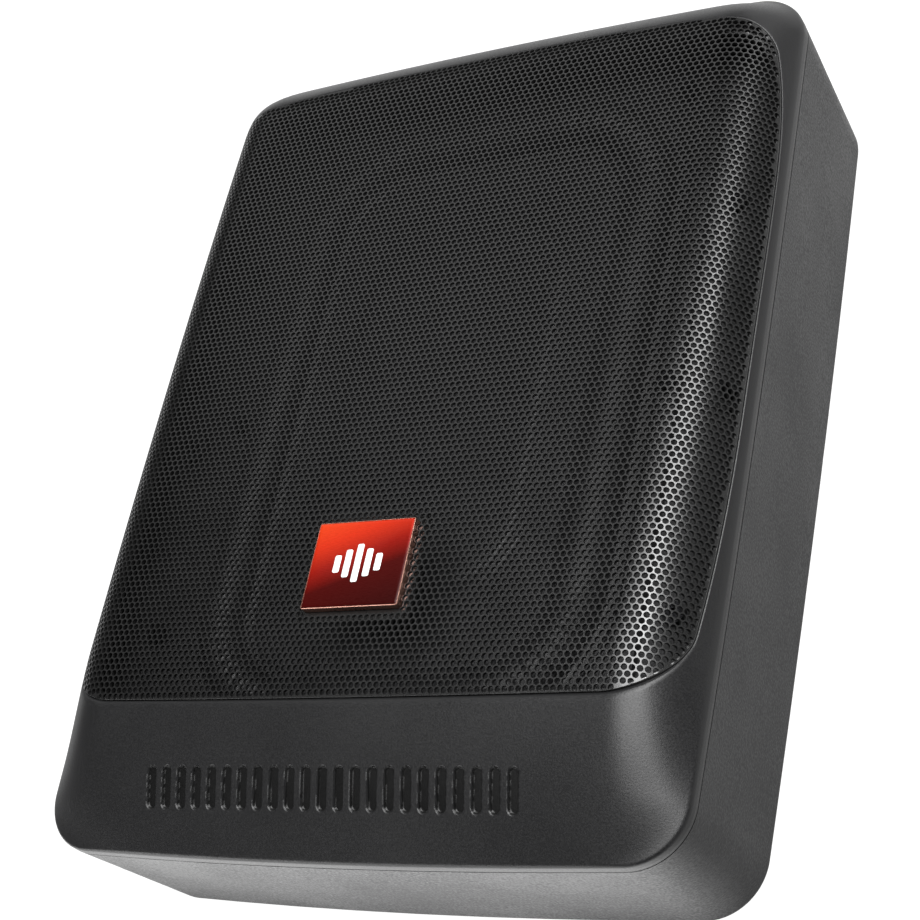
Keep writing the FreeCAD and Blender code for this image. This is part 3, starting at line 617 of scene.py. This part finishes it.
def build_spider(material):
    """A corrugated cloth disc from the frame's seat in to the coil former."""
    rim, neck, folds, seat, thickness = 33.0, 19.75, 4, 28.02, 0.5
    share = np.linspace(0, 1, 97)
    radii = np.concatenate([[36.0, 35.5, 34.0], rim - (rim - neck) * share])
    wave = 0.8 * (1 - np.cos(2 * np.pi * folds * share)) * np.clip(share * 8, 0, 1)
    height = np.concatenate([[seat] * 3, seat + 2.6 * share + wave * 0.85])
    height[-3:] = height[-4] + np.array([0.1, 0.3, 0.6])
    profile = [(r, z + thickness) for r, z in zip(radii, height)]
    profile += [(r, z) for r, z in zip(radii[::-1], height[::-1])]
    profile.append(profile[0])
    turn = np.arange(144) * 2 * np.pi / 144
    rows = np.array([np.c_[r * np.cos(turn), driver_y + r * np.sin(turn), np.full(144, z)]
                     for r, z in profile])
    piece = make_piece("spider_disc", rows.reshape(-1, 3), strip_faces(len(rows), 144), [material], None,
                       ["spider"], sharp=60)
    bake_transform(piece)


tube_sides = 30


def route_points(route):
    """Closely spaced points along the smooth curve through a lead's route."""
    curve = bpy.data.curves.new("route", "CURVE")
    curve.dimensions = "3D"
    spline = curve.splines.new("NURBS")
    spline.points.add(len(route) - 1)
    for point, place in zip(spline.points, route):
        point.co = (*place, 1)
    spline.order_u = 3
    spline.use_endpoint_u = True
    spline.resolution_u = 12
    holder = bpy.data.objects.new("route", curve)
    mesh = bpy.data.meshes.new_from_object(holder)
    points = np.array([v.co[:] for v in mesh.vertices])
    bpy.data.objects.remove(holder)
    bpy.data.curves.remove(curve)
    bpy.data.meshes.remove(mesh)
    run = np.concatenate([[0], np.cumsum(np.linalg.norm(np.diff(points, axis=0), axis=1))])
    even = np.linspace(0, run[-1], int(run[-1] / 0.35))
    return np.stack([np.interp(even, run, points[:, k]) for k in range(3)], -1), even


def lead_rows(route, radius, strands, twist, lift):
    """A tube round a route. Its surface swells over each strand, and the strands twist along it."""
    points, run = route_points(route)
    along = np.gradient(points, axis=0)
    along /= np.linalg.norm(along, axis=1, keepdims=True)
    side = np.cross(along, (1, 0, 0))
    side /= np.linalg.norm(side, axis=1, keepdims=True)
    up = np.cross(side, along)
    turn = np.arange(tube_sides) * 2 * np.pi / tube_sides
    rows = []
    for p, a, b, s in zip(points, side, up, run):
        r = radius * (1 - lift + lift * np.abs(np.cos(strands * (turn - twist * s) / 2)))
        rows.append(p + (r * np.cos(turn))[:, None] * a + (r * np.sin(turn))[:, None] * b)
    return np.array(rows)


def build_leads(name, routes, radius, strands, twist, lift, material, replaced, body):
    verts, faces = [], []
    for route in routes:
        rows = lead_rows(route, radius, strands, twist, lift)
        first = sum(len(v) for v in verts)
        verts.append(rows.reshape(-1, 3))
        faces += strip_faces(len(rows), tube_sides, first).tolist()
        last = first + (len(rows) - 1) * tube_sides
        faces.append(list(range(first, first + tube_sides))[::-1])
        faces.append(list(range(last, last + tube_sides)))
    return make_piece(name, np.concatenate(verts), faces, [material], body, replaced, sharp=60)


tinsel_route = [(95.0, 36.5), (84.0, 35.5), (68.0, 38.0), (50.0, 37.0), (38.0, 41.0), (33.0, 46.5)]
lead_route = [(54.0, 80.0, 9.6), (54.0, 80.0, 17.0), (46.0, 84.0, 25.0), (32.0, 96.0, 30.0),
              (17.0, 103.0, 32.0), (6.0, 103.5, 33.0), (6.0, 99.9, 34.0)]


# ---------------------------------------------------------------- finishes
cover_plastic = surface("cover_plastic", (0.0085, 0.0085, 0.009), (0.0145, 0.0145, 0.015), (0.32, 0.44),
                        patch=25, grain=2200, depth=0.00003, specular=0.42)
pattern_plastic = surface("pattern_gloss", (0.003, 0.003, 0.003), (0.007, 0.007, 0.007), (0.30, 0.38),
                          grain=3000, depth=0.000005, specular=0.3)
tub_plastic = surface("tub_plastic", (0.011, 0.011, 0.0115), (0.021, 0.021, 0.022), (0.28, 0.52), patch=25,
                      grain=1600, depth=0.00009, specular=0.35)
grille_paint = surface("grille_paint", (0.005, 0.005, 0.005), (0.010, 0.010, 0.010), (0.26, 0.34),
                       grain=4000, depth=0.00001, specular=0.9)
badge_metal = surface("badge_metal", (0.42, 0.20, 0.15), (0.68, 0.38, 0.30), (0.24, 0.36), metal=1.0,
                      grain=4000, stretch=(1, 12, 1))
emblem_white = surface("emblem_white", (0.80, 0.79, 0.77), (0.92, 0.91, 0.89), (0.25, 0.35), grain=3000)
rubber = surface("surround_rubber", (0.010, 0.010, 0.011), (0.022, 0.022, 0.023), (0.45, 0.62), grain=2200,
                 depth=0.00004)
cone_paper = surface("cone_composite", (0.012, 0.012, 0.013), (0.028, 0.028, 0.030), (0.40, 0.55),
                     patch=250, grain=1800, depth=0.00006)
foam = surface("seal_foam", (0.012, 0.012, 0.012), (0.030, 0.030, 0.030), (0.75, 0.9), patch=900,
               grain=3500, depth=0.0001)
spider_cloth = surface("spider_cloth", (0.30, 0.17, 0.035), (0.50, 0.32, 0.09), (0.65, 0.8), patch=300,
                       grain=2600, depth=0.0001)
tinsel_copper = surface("tinsel_copper", (0.50, 0.20, 0.08), (0.75, 0.36, 0.18), (0.28, 0.4), metal=1.0,
                        patch=900, grain=5000)
lead_jacket = surface("lead_jacket", (0.16, 0.006, 0.006), (0.25, 0.014, 0.012), (0.35, 0.45), patch=200,
                      grain=3000, depth=0.00001)


def laminate(name, base, line, scale):
    """Moulded or laminated stock with thin darker lines running through it."""
    material, tree, bsdf = new_material(name)
    coords = object_coords(tree)
    wave = tree.nodes.new("ShaderNodeTexWave")
    wave.inputs["Scale"].default_value = scale
    wave.inputs["Distortion"].default_value = 1.5
    link(tree, coords, wave.inputs["Vector"])
    link(tree, ramp(tree, wave.outputs["Fac"], [(0.0, line), (0.35, base), (1.0, base)]),
         bsdf.inputs["Base Color"])
    grain = noise(tree, coords, 1800)
    link(tree, remap(tree, grain, 0.35, 0.5), bsdf.inputs["Roughness"])
    bump(tree, bsdf, wave.outputs["Fac"], 0.00004)
    return material


slot_finish = {
    "tub": tub_plastic,
    "screw_steel": surface("black_zinc", (0.020, 0.020, 0.022), (0.050, 0.050, 0.054), (0.28, 0.42),
                           metal=1.0, patch=400, grain=5000),
    "brass": surface("turned_brass", (0.52, 0.36, 0.13), (0.72, 0.54, 0.26), (0.22, 0.36), metal=1.0,
                     patch=300, grain=4000, stretch=(1, 1, 8)),
    "baffle": surface("baffle_plastic", (0.006, 0.006, 0.0065), (0.013, 0.013, 0.014), (0.45, 0.6),
                      patch=40, grain=1800, depth=0.00004),
    "basket": surface("basket_coat", (0.007, 0.007, 0.0075), (0.015, 0.015, 0.016), (0.42, 0.55), patch=60,
                      grain=2600, depth=0.00005),
    "former": surface("coil_film", (0.20, 0.11, 0.03), (0.34, 0.20, 0.07), (0.28, 0.4), patch=200,
                      grain=3000),
    "plated_steel": surface("zinc_plate", (0.34, 0.34, 0.31), (0.52, 0.52, 0.48), (0.26, 0.42), metal=1.0,
                            patch=150, grain=3500),
    "ferrite": surface("ceramic_ferrite", (0.020, 0.020, 0.022), (0.045, 0.045, 0.050), (0.5, 0.7),
                       patch=120, grain=1500, depth=0.00008),
    "fibre": surface("fibre_board", (0.16, 0.075, 0.025), (0.27, 0.14, 0.05), (0.55, 0.7), patch=300,
                     grain=2400, depth=0.00005, stretch=(1, 1, 4)),
    "board": surface("solder_mask", (0.004, 0.050, 0.018), (0.010, 0.085, 0.032), (0.22, 0.35), patch=180,
                     grain=2500, coat=0.4),
    "capacitor": surface("shrink_sleeve", (0.012, 0.012, 0.022), (0.024, 0.024, 0.040), (0.22, 0.34),
                         patch=200, grain=3000, coat=0.3),
    "ferrite_core": surface("sintered_core", (0.030, 0.030, 0.032), (0.060, 0.060, 0.064), (0.45, 0.6),
                            patch=150, grain=1600, depth=0.00006),
    "chip": surface("moulded_package", (0.012, 0.012, 0.012), (0.022, 0.022, 0.022), (0.4, 0.52), patch=200,
                    grain=2600, depth=0.00003),
    "aluminium": surface("extruded_aluminium", (0.42, 0.42, 0.43), (0.60, 0.60, 0.61), (0.28, 0.42),
                         metal=1.0, patch=200, grain=3000, stretch=(0.1, 1, 1)),
    "panel": surface("panel_plastic", (0.007, 0.007, 0.0075), (0.014, 0.014, 0.015), (0.42, 0.55), patch=40,
                     grain=2300, depth=0.00005),
    "socket": surface("socket_moulding", (0.008, 0.008, 0.008), (0.016, 0.016, 0.016), (0.32, 0.44),
                      patch=80, grain=2600, depth=0.00002),
    "jack": surface("gold_plate", (0.66, 0.44, 0.14), (0.85, 0.62, 0.28), (0.14, 0.26), metal=1.0,
                    patch=300, grain=4000),
    "jack_ring": surface("jack_moulding", (0.62, 0.61, 0.58), (0.78, 0.77, 0.74), (0.3, 0.42), patch=200,
                         grain=3000),
    "knob": surface("knob_plastic", (0.009, 0.009, 0.009), (0.019, 0.019, 0.020), (0.34, 0.48), patch=120,
                    grain=2400, depth=0.00003),
    "fuse": surface("fuse_moulding", (0.50, 0.30, 0.012), (0.66, 0.42, 0.03), (0.18, 0.3), patch=200,
                    grain=3000, coat=0.5),
    "lamp": surface("lamp_lens", (0.22, 0.008, 0.008), (0.34, 0.016, 0.014), (0.10, 0.2), patch=300,
                    grain=3000, coat=1.0),
}
slot_finish["copper"] = laminate("wound_copper", (0.50, 0.18, 0.06), (0.16, 0.05, 0.02), 260.0)


def badge_lacquer_painted_shade():
    """Red lacquer with a brushed grain, with painted shade and highlight in its colour: darkest at the
    badge's -Y, +X corner, bright red towards the +Y, -X corner.
    """
    material, tree, bsdf = new_material("badge_lacquer_painted_shade")
    coords = tree.nodes.new("ShaderNodeTexCoord")
    split = tree.nodes.new("ShaderNodeSeparateXYZ")
    link(tree, coords.outputs["Object"], split.inputs["Vector"])
    along = tree.nodes.new("ShaderNodeMath")
    along.operation = "MULTIPLY_ADD"
    along.inputs[1].default_value = -0.35
    link(tree, split.outputs["X"], along.inputs[0])
    link(tree, split.outputs["Y"], along.inputs[2])
    share = remap(tree, along.outputs[0], 0.0, 1.0, (-0.0700, -0.0380))
    # Painted shade and highlight: the colour runs from near black at the -Y, +X corner to bright red at the
    # +Y, -X corner.
    base = ramp(tree, share,
                [(0.0, (0.030, 0.0012, 0.001)), (0.36, (0.055, 0.0015, 0.001)), (0.56, (0.24, 0.007, 0.003)),
                              (0.78, (0.52, 0.024, 0.005)), (1.0, (0.62, 0.045, 0.008))])
    brushed = noise(tree, object_coords(tree, (1, 25, 1)), 600, 2.0)
    link(tree, base, bsdf.inputs["Base Color"])
    link(tree, remap(tree, brushed, 0.22, 0.34), bsdf.inputs["Roughness"])
    bump(tree, bsdf, brushed, 0.00001)
    bsdf.inputs["Metallic"].default_value = 0.2
    bsdf.inputs["Specular IOR Level"].default_value = 0.15
    bsdf.inputs["Coat Weight"].default_value = 0.1
    bsdf.inputs["Coat Roughness"].default_value = 0.06
    return material


# ---------------------------------------------------------------- pieces
build_cover(cover_plastic, pattern_plastic)
build_grille(grille_paint)
build_badge(badge_metal, grille_paint, badge_lacquer_painted_shade(), emblem_white)
build_surround(rubber)
build_cone(cone_paper)
build_cover_gasket(foam)
build_driver_gasket(foam)
build_spider(spider_cloth)
tinsel = build_leads("tinsel_braid", [[(x, y, z) for y, z in tinsel_route] for x in (-10.0, 10.0)], 0.6, 6,
                     2.2, 0.22, tinsel_copper, ["tinsel_leads"], None)
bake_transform(tinsel)
build_leads("driver_leads", [[(k * x, y, z) for x, y, z in lead_route] for k in (-1, 1)], 0.9, 1, 0.0, 0.0,
            lead_jacket, ["speaker_leads"], "enclosure")


def shade_node(name, material):
    """Gives a CAD node its finish. Its mesh stays as it is."""
    mesh = nodes[name].data
    mesh.materials.clear()
    mesh.materials.append(material)


for part in frame["record"]["subparts"]:
    if part["material_slot"] in slot_finish:
        shade_node(part["node"], slot_finish[part["material_slot"]])

# ---------------------------------------------------------------- floor, light and camera
floor_mesh = bpy.data.meshes.new("floor")
floor_mesh.from_pydata([(-4, -4, 0), (4, -4, 0), (4, 4, 0), (-4, 4, 0)], [], [(0, 1, 2, 3)])
floor = bpy.data.objects.new("floor", floor_mesh)
bpy.context.scene.collection.objects.link(floor)
floor_material, floor_tree, floor_bsdf = new_material("floor_white")
floor_bsdf.inputs["Base Color"].default_value = (0.15, 0.15, 0.15, 1)
floor_bsdf.inputs["Roughness"].default_value = 0.9
floor_bsdf.inputs["Specular IOR Level"].default_value = 0.0
floor_bsdf.inputs["Emission Color"].default_value = (1, 1, 1, 1)
floor_coords = floor_tree.nodes.new("ShaderNodeTexCoord")
floor_split = floor_tree.nodes.new("ShaderNodeSeparateXYZ")
link(floor_tree, floor_coords.outputs["Object"], floor_split.inputs["Vector"])
# The camera sees a white floor. Other rays see a dimmer one, but a brighter one beyond the -Y end.
glow = floor_tree.nodes.new("ShaderNodeMath")
glow.operation = "MULTIPLY"
link(floor_tree, remap(floor_tree, floor_split.outputs["X"], 2.0, 0.0, (0.08, 0.13)), glow.inputs[0])
link(floor_tree, remap(floor_tree, floor_split.outputs["Y"], 1.0, 0.0, (-0.15, -0.12)), glow.inputs[1])
bounce = floor_tree.nodes.new("ShaderNodeMath")
bounce.operation = "ADD"
link(floor_tree, remap(floor_tree, floor_split.outputs["Y"], 0.36, 0.95, (-0.12, 0.6)), bounce.inputs[0])
link(floor_tree, glow.outputs[0], bounce.inputs[1])
floor_path = floor_tree.nodes.new("ShaderNodeLightPath")
floor_mix = floor_tree.nodes.new("ShaderNodeMix")
link(floor_tree, floor_path.outputs["Is Camera Ray"], floor_mix.inputs["Factor"])
link(floor_tree, bounce.outputs[0], floor_mix.inputs["A"])
floor_mix.inputs["B"].default_value = 1.0
link(floor_tree, floor_mix.outputs["Result"], floor_bsdf.inputs["Emission Strength"])
floor_mesh.materials.append(floor_material)

world = bpy.data.worlds.new("studio")
world.use_nodes = True
world_tree = world.node_tree
world_path = world_tree.nodes.new("ShaderNodeLightPath")
link(world_tree, remap(world_tree, world_path.outputs["Is Camera Ray"], 0.09, 1.0, (0.0, 1.0)),
     world_tree.nodes["Background"].inputs["Strength"])
world_tree.nodes["Background"].inputs["Color"].default_value = (1, 1, 1, 1)
bpy.context.scene.world = world


def softbox(name, place, target, size, power):
    data = bpy.data.lights.new(name, "AREA")
    data.shape = "RECTANGLE"
    data.size, data.size_y = size
    data.energy = power
    lamp = bpy.data.objects.new(name, data)
    bpy.context.scene.collection.objects.link(lamp)
    lamp.location = place
    lamp.rotation_mode = "QUATERNION"
    lamp.rotation_quaternion = (Vector(target) - Vector(place)).to_track_quat("-Z", "Y")


softbox("shoulder_strip", (0.80, 0.60, 1.25), (0.08, -0.02, 0.06), (0.28, 1.20), 14)
softbox("overhead", (0.29, 0.06, 1.35), (0.0, 0.0, 0.06), (0.98, 1.15), 28)
softbox("back_fill", (-0.80, 1.25, 1.10), (0.0, 0.05, 0.06), (1.2, 1.0), 2.4)
softbox("front_low", (-1.0, -1.25, 0.35), (0, -0.1, 0.02), (1.0, 0.5), 8)
softbox("back_low", (0.6, 1.5, 0.4), (0, 0.1, 0.02), (1.2, 0.5), 2)

camera_data = bpy.data.cameras.new("camera")
camera_data.lens = 78.17
camera_data.sensor_width = 36.0
camera_data.clip_start = 0.01
camera_data.clip_end = 20
camera = bpy.data.objects.new("camera", camera_data)
bpy.context.scene.collection.objects.link(camera)
camera.location = (0.289415, -0.258176, 0.449360)
camera.rotation_mode = "QUATERNION"
camera.rotation_quaternion = Quaternion((0.93073728, 0.24908595, 0.26595897, 0.03082422))
bpy.context.scene.camera = camera
bpy.context.scene.view_settings.view_transform = "Standard"
